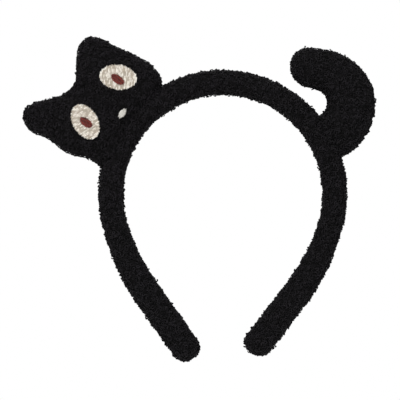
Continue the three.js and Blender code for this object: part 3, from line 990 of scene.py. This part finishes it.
def stitch_tree():
    """One stitch on each corner, turned by its `run` and `lie`, and as long as its `reach`."""
    tree, given = start_tree("stitches", ("Thread Width", "Arch"))
    line = add_node(tree, "GeometryNodeCurvePrimitiveLine", {}, {
        "Start": (-0.5, 0, 0), "End": (0.5, 0, 0),
    }).outputs[0]
    line = add_node(tree, "GeometryNodeResampleCurve", {}, {"Curve": line, "Count": 8}).outputs[0]
    share = add_node(tree, "GeometryNodeSplineParameter").outputs["Factor"]
    half_turn = add_node(tree, "ShaderNodeMath", {"operation": "MULTIPLY"}, {0: share, 1: math.pi})
    hump = add_node(tree, "ShaderNodeMath", {"operation": "SINE"}, {0: half_turn.outputs[0]})
    taper = add_node(tree, "ShaderNodeMath", {"operation": "POWER"}, {
        0: hump.outputs[0], 1: STITCH_BLUNTNESS,
    })
    lift = add_node(tree, "ShaderNodeMath", {"operation": "MULTIPLY"}, {
        0: hump.outputs[0], 1: given["Arch"],
    })
    line = add_node(tree, "GeometryNodeSetCurveRadius", {}, {
        "Curve": line, "Radius": taper.outputs[0],
    }).outputs[0]
    upwards = add_node(tree, "ShaderNodeCombineXYZ", {}, {"Z": lift.outputs[0]}).outputs[0]
    line = add_node(tree, "GeometryNodeSetPosition", {}, {
        "Geometry": line, "Offset": upwards,
    }).outputs[0]
    round_thread = add_node(tree, "GeometryNodeCurvePrimitiveCircle", {}, {
        "Resolution": 6, "Radius": 0.5,
    }).outputs["Curve"]
    stitch = add_node(tree, "GeometryNodeCurveToMesh", {}, {
        "Curve": line, "Profile Curve": round_thread, "Scale": taper.outputs[0], "Fill Caps": True,
    }).outputs[0]

    run, lie, reach = (
        add_node(
            tree, "GeometryNodeInputNamedAttribute", {"data_type": kind}, {"Name": name},
        ).outputs["Attribute"]
        for name, kind in (("run", "FLOAT_VECTOR"), ("lie", "FLOAT_VECTOR"), ("reach", "FLOAT"))
    )
    spots = add_node(tree, "GeometryNodeMeshToPoints", {}, {"Mesh": given["Geometry"]}).outputs[0]
    turned = add_node(
        tree, "FunctionNodeAxesToRotation", {"primary_axis": "Z", "secondary_axis": "X"},
        {"Primary Axis": lie, "Secondary Axis": run},
    ).outputs[0]
    size = add_node(tree, "ShaderNodeCombineXYZ", {}, {
        "X": reach, "Y": given["Thread Width"], "Z": given["Thread Width"],
    }).outputs[0]
    placed = add_node(tree, "GeometryNodeInstanceOnPoints", {}, {
        "Points": spots, "Instance": stitch, "Rotation": turned, "Scale": size,
    }).outputs[0]
    end_tree(tree, toned(tree, placed, 0.0, 3), given["Material"])
    return tree


STITCHES = stitch_tree()


def sew(name, stitches, width, arch, material):
    """One piece from a list of stitches, each (middle, direction, facing, length)."""
    piece = mesh_object(name, [s[0] for s in stitches], [])
    for attribute, index in (("run", 1), ("lie", 2)):
        stored = piece.data.attributes.new(attribute, "FLOAT_VECTOR", "POINT")
        stored.data.foreach_set("vector", [x for s in stitches for x in s[index]])
    reach = piece.data.attributes.new("reach", "FLOAT", "POINT")
    reach.data.foreach_set("value", [s[3] for s in stitches])
    run_tree(piece, STITCHES, {"Thread Width": width, "Arch": arch, "Material": material})
    welded = bmesh.new()
    welded.from_mesh(piece.data)
    bmesh.ops.remove_doubles(welded, verts=welded.verts[:], dist=1e-7)
    bmesh.ops.recalc_face_normals(welded, faces=welded.faces[:])
    welded.to_mesh(piece.data)
    welded.free()
    return piece


# %% Filling a patch with rows of stitches
rng = np.random.default_rng(7)
SHORTEST_STITCH = 0.3 * MM
UNEVEN = 0.05 * MM


def on_face(across, height):
    return on_surface(FACE, HEAD_TURN, across, height, -1)


def fill_patch(name, row_gap, stitch_length, proud, ragged, along_long):
    """Rows of stitches in an oval. Rows run the short way unless `along_long`."""
    across, height, length, width, lean = PATCHES[name]
    long_way, short_way = patch_axes(lean)
    row_way, step_way = (long_way, short_way) if along_long else (short_way, long_way)
    half_row, half_step = (length / 2, width / 2) if along_long else (width / 2, length / 2)
    rows = int(2 * half_step / row_gap)
    stitches = []
    for row in range(rows + 1):
        off = -half_step + 2 * half_step * (row + 0.5) / (rows + 1)
        half = half_row * math.sqrt(1 - (off / half_step) ** 2) + rng.uniform(-0.6, 0.6) * ragged
        count = max(1, round(2 * half / stitch_length))
        brick = (row % 3) / 3 * (2 * half / count) if count > 1 else 0
        inner_cuts = np.arange(-half + brick, half, 2 * half / count)
        cuts = [-half] + [cut for cut in inner_cuts if cut > -half + SHORTEST_STITCH] + [half]
        for a, b in zip(cuts, cuts[1:]):
            middle = Vector((across, height)) + row_way * (a + b) / 2 + step_way * off
            place, facing = on_face(*middle)
            one, _ = on_face(*(middle - row_way * (b - a) / 2))
            two, _ = on_face(*(middle + row_way * (b - a) / 2))
            stitches.append((
                (one + two + place * 2) / 4 + facing * (proud + rng.uniform(-UNEVEN, UNEVEN)),
                (two - one).normalized(), facing, (two - one).length * 1.06,
            ))
    return stitches


PAD_RINGS = 8
PAD_SIDES = 40
PAD_THICKNESS = 0.5 * MM


def underlay(name, grow, proud, material):
    """A thin closed pad on the face, under the rows."""
    across, height, length, width, lean = PATCHES[name]
    long_way, short_way = patch_axes(lean)
    points = []
    for ring in range(1, PAD_RINGS + 1):
        long_reach = (length / 2 + grow) * ring / PAD_RINGS
        short_reach = (width / 2 + grow) * ring / PAD_RINGS
        for i in range(PAD_SIDES):
            angle = i / PAD_SIDES * math.tau
            off = long_way * math.cos(angle) * long_reach + short_way * math.sin(angle) * short_reach
            place, facing = on_face(across + off.x, height + off.y)
            points.append(place + facing * proud)
    place, facing = on_face(across, height)
    points.append(place + facing * proud)
    faces = tube_faces(PAD_RINGS, PAD_SIDES)
    for i in range(PAD_SIDES):
        faces.append(((i + 1) % PAD_SIDES, i, len(points) - 1))
    piece = mesh_object(name + "_underlay", points, faces)
    if piece.data.polygons[0].normal.y > 0:
        piece.data.flip_normals()
    give_wall(piece, PAD_THICKNESS)
    piece.data.materials.append(material)
    return shade_smooth(piece)


# %% The eyes, the pupils and the mouth
ROW_ARCH = 0.25
PAD_MARGIN = 0.35 * MM
PAD_SUNK = 0.1 * MM


def embroider(name, material, width, row_gap, length, proud, ragged, along_long=False):
    """`width` and `length` are a stitch's, and `ragged` is how far the rows' ends wander."""
    rows = fill_patch(name, row_gap, length, proud, ragged, along_long)
    stitched = sew(name + "_rows", rows, width, ROW_ARCH, material)
    pad = underlay(name, -PAD_MARGIN, proud - PAD_SUNK, material)
    piece = join(name + "_embroidery", [stitched, pad])
    shade_smooth(piece)
    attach(piece, "left_side")
    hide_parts(name)
    print(piece.name, "stitches:", len(rows))


for side in ("left", "right"):
    embroider(
        "eye_" + side, cream_thread, width=0.64 * MM, row_gap=0.72 * MM,
        length=2.4 * MM, proud=0.55 * MM, ragged=0.5 * MM,
    )
    embroider(
        "pupil_" + side, red_thread, width=0.58 * MM, row_gap=0.47 * MM,
        length=2.6 * MM, proud=1.05 * MM, ragged=0.35 * MM, along_long=True,
    )
embroider(
    "mouth", silver_thread, width=0.75 * MM, row_gap=0.6 * MM,
    length=7 * MM, proud=0.8 * MM, ragged=0.5 * MM, along_long=True,
)

for piece, node in ((head_front, "head_front"), (head_back, "head_back")):
    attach(piece, "left_side")
    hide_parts(node)

# %% [markdown]
# ## The stuffed tail
#
# The tail is two strips of the same fleece, sewn along both edges and stuffed. Its centreline
# curls on one arc and eases on a wider one. The base is made as rings round that line, then
# remeshed and stuffed like the head, with the two seams held.

# %% The tail's centreline
TAIL_TURN = math.radians(60.3)
TAIL_ROOT = Vector((-0.7 * MM, -5 * MM))
TAIL_LEAN = math.radians(17)
TAIL_CURL_RADIUS = 19.2 * MM
TAIL_CURL_RUN = TAIL_CURL_RADIUS * math.radians(151)
TAIL_EASE_RADIUS = 51 * MM
TAIL_LENGTH = TAIL_CURL_RUN + 20.4 * MM
TAIL_RADIUS = 13.2 * MM
TAIL_TIP_RADIUS = 11 * MM
TAIL_DEPTH_SHARE = 0.9
TAIL_ROOT_SHARE = 0.5
TAIL_ROOT_LENGTH = 16 * MM
TAIL_TIP_START = TAIL_LENGTH - TAIL_TIP_RADIUS
TAIL_SEAM = 1 * MM
TAIL_SIDES = 28
TAIL_RINGS = 34


def on_tail(along, out):
    """A place in the tail's plane: `out` is towards the outside of its curl."""

    def inwards(turn):
        return Vector((-math.cos(turn), -math.sin(turn)))

    curled = -TAIL_LEAN + min(along, TAIL_CURL_RUN) / TAIL_CURL_RADIUS
    turn = curled + max(along - TAIL_CURL_RUN, 0) / TAIL_EASE_RADIUS
    return (
        TAIL_ROOT
        + inwards(-TAIL_LEAN) * TAIL_CURL_RADIUS
        + inwards(curled) * (TAIL_EASE_RADIUS - TAIL_CURL_RADIUS)
        - inwards(turn) * (TAIL_EASE_RADIUS + out)
    )


def tail_radius(along):
    slim = smooth_step(along, TAIL_LENGTH / 3, TAIL_TIP_START)
    return TAIL_RADIUS + (TAIL_TIP_RADIUS - TAIL_RADIUS) * slim


# %% The tail's base
def tail_base(name):
    tip = TAIL_TIP_RADIUS - PILE_HEIGHT
    straight = np.linspace(0, TAIL_TIP_START, TAIL_RINGS)
    stops = [(along, tail_radius(along) - PILE_HEIGHT) for along in straight]
    for i in range(1, DOME_RINGS):
        angle = i / DOME_RINGS * math.pi / 2
        stops.append((TAIL_TIP_START + tip * math.sin(angle), tip * math.cos(angle)))
    points = []
    for along, radius in stops:
        fill = smooth_step(along, 0, TAIL_ROOT_LENGTH)
        share = TAIL_ROOT_SHARE + (TAIL_DEPTH_SHARE - TAIL_ROOT_SHARE) * fill
        for i in range(TAIL_SIDES):
            angle = i / TAIL_SIDES * math.tau
            place = on_tail(along, radius * math.cos(angle))
            points.append((place.x, place.y, radius * share * math.sin(angle)))
    start = on_tail(0, 0)
    end = on_tail(TAIL_TIP_START + tip, 0)
    points += [(start.x, start.y, 0), (end.x, end.y, 0)]
    last = (len(stops) - 1) * TAIL_SIDES
    faces = tube_faces(len(stops), TAIL_SIDES)
    for i in range(TAIL_SIDES):
        faces.append((i, (i + 1) % TAIL_SIDES, len(points) - 2))
        faces.append((last + (i + 1) % TAIL_SIDES, last + i, len(points) - 1))
    return even_mesh(mesh_object(name, points, faces))


tail = tail_base("stuffed_tail")
level = np.abs(corners_of(tail)[:, 2])
stuff(tail, np.where(level < TAIL_SEAM, 1.0, 0.0), pressure=3, most=MOST_STUFFING)
place_pouch(tail, TAIL_TURN)
refine(tail)
TAIL_FACE = surface_of(tail)

for side, seed, name in ((-1, 31, "tail_front"), (1, 32, "tail_back")):
    piece = panel(name + "_panel", tail, side)
    outer = give_wall(piece, PANEL_WALL)
    set_pile(piece, panel_pile(outer, [corner.co for corner in piece.data.vertices]))
    grow_pile(piece, seed)
    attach(piece, "right_side")
    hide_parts(name)
bpy.data.objects.remove(tail)

# %% [markdown]
# ## The seams
#
# Black thread closes every seam. The band's cover is closed along its inner side with ladder
# stitches, which cross the seam at a slant. The head and the tail are closed round their edges,
# and whip stitches hold both to the band on the front and the back. The pile hides most of
# this, so the thread shows only as short dashes down in it.

# %% Stitches for the band's cover
THREAD = 0.55 * MM
STITCH_ARCH = 0.6
LADDER_PITCH = 3.2 * MM
LADDER_LENGTH = 2.6 * MM
LADDER_LEAN = 0.7
LADDER_PROUD = 0.3 * MM
TIP_SETBACK = 12 * MM


def ladder(name, end):
    side = -1 if end < 0 else 1
    stitches = []
    count = int((abs(end) - TIP_SETBACK) / LADDER_PITCH)
    for i in range(count):
        along = side * (i + 0.5) * LADDER_PITCH
        inner = thickness_at(along) * (1 - OUTER_SHARE) - PILE_HEIGHT + LADDER_PROUD
        place = on_hoop(along, -inner, 0)
        ahead = on_hoop(along + MM, -inner, 0) - place
        facing = on_hoop(along, -inner - MM, 0) - place
        run = (ahead.normalized() * LADDER_LEAN + Vector((0, 1, 0))).normalized()
        stitches.append((place, run, facing.normalized(), LADDER_LENGTH))
    return sew(name, stitches, THREAD, STITCH_ARCH, black_thread)


for name, end, side, body, nodes in (
    ("cover_stitches_left", LEFT_END, -1, "left_side", ("cover_seam_left", "cover_seam_crown")),
    ("cover_stitches_right", RIGHT_END, 1, "right_side", ("cover_seam_right",)),
):
    piece = ladder(name, end)
    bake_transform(piece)
    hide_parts(*nodes)


# %% Stitches round an edge
RIM_CLEAR = 3 * MM
RIM_PITCH = 3 * MM
RIM_LENGTH = 2.2 * MM
RIM_PROUD = 0.2 * MM
ROOT_CLEAR = 1 * MM


def rim_stitches(surface, turn, path):
    """Stitches on a stuffed shape's edge. `path` has places outside it and the way in."""
    stitches = []
    for (place, inwards), (after, _) in zip(path, path[1:]):
        start = in_frame(turn, place.x, 0, place.y)
        beyond = place + inwards
        way_in = (in_frame(turn, beyond.x, 0, beyond.y) - start).normalized()
        hit = surface.ray_cast(start, way_in)[0]
        if hit is None or in_band(hit, -ROOT_CLEAR):
            continue
        ahead = (in_frame(turn, after.x, 0, after.y) - start).normalized()
        stitches.append((hit - way_in * RIM_PROUD, ahead, -way_in, RIM_LENGTH))
    return stitches


# %% The paths of the edge stitches
head_path = []
for i in range(0, len(outline), 2):
    if outline[i].y > ROOT_CLEAR:
        along = (outline[(i + 1) % len(outline)] - outline[i - 1]).normalized()
        out = Vector((along.y, -along.x))
        head_path.append((outline[i] + out * RIM_CLEAR, -out))

tail_path = []
steps = np.arange(2 * ROOT_CLEAR, TAIL_TIP_START, RIM_PITCH)
back_steps = np.arange(TAIL_TIP_START, 2 * ROOT_CLEAR, -RIM_PITCH)
stops = [(along, along, tail_radius(along) + RIM_CLEAR) for along in steps]
for angle in np.linspace(0, math.pi, 13)[1:-1]:
    reach = TAIL_TIP_RADIUS + RIM_CLEAR
    over = TAIL_TIP_START + reach * math.sin(angle)
    stops.append((over, TAIL_TIP_START, reach * math.cos(angle)))
stops += [(along, along, -tail_radius(along) - RIM_CLEAR) for along in back_steps]
for along, aimed_at, out in stops:
    place = on_tail(along, out)
    tail_path.append((place, (on_tail(aimed_at, 0) - place).normalized()))

# %% Whip stitches where a stuffed shape meets the band
WHIP_PITCH = 2.6 * MM
WHIP_LENGTH = 3.4 * MM
WHIP_PROUD = 0.5 * MM
WHIP_HEIGHTS = np.arange(5, -9, -0.25) * MM


def seat_stitches(surface, turn, half_angle, side):
    """On the front (-1) or the back (1), from the band's fleece to the shape's."""
    stitches = []
    count = round(2 * half_angle * SEAT_RADIUS / WHIP_PITCH)
    for i in range(count):
        angle = ((i + 0.5) / count * 2 - 1) * half_angle
        for height in WHIP_HEIGHTS:
            across = (SEAT_RADIUS + height) * math.tan(angle)
            place, facing = on_surface(surface, turn, across, height, side)
            if place is None or not in_band(place, -WHIP_PROUD):
                continue
            outwards = Vector((place.x, 0, place.z - CENTRE_Z)).normalized()
            slant = Vector((outwards.z, 0, -outwards.x))
            run = (outwards + slant * 0.5 + Vector((0, side, 0)) * -0.3).normalized()
            stitches.append((place + facing * WHIP_PROUD, run, facing, WHIP_LENGTH))
            break
    return stitches


# %% The thread of the head and the tail
SHAPES = (
    ("head", FACE, HEAD_TURN, head_path, math.radians(16), "left_side"),
    ("tail", TAIL_FACE, TAIL_TURN, tail_path, math.radians(8), "right_side"),
)


def sew_on(name, stitches, node, body):
    piece = sew(name + "_stitches", stitches, THREAD, STITCH_ARCH, black_thread)
    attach(piece, body)
    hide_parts(node)
    print(piece.name, "stitches:", len(stitches))


for shape, surface, turn, path, _, body in SHAPES:
    sew_on(shape + "_edge", rim_stitches(surface, turn, path), shape + "_edge_seam", body)
for shape, surface, turn, _, seat, body in SHAPES:
    for word, side in (("front", -1), ("back", 1)):
        stitches = seat_stitches(surface, turn, seat, side)
        sew_on(f"{shape}_seat_{word}", stitches, f"{shape}_seat_stitching_{word}", body)
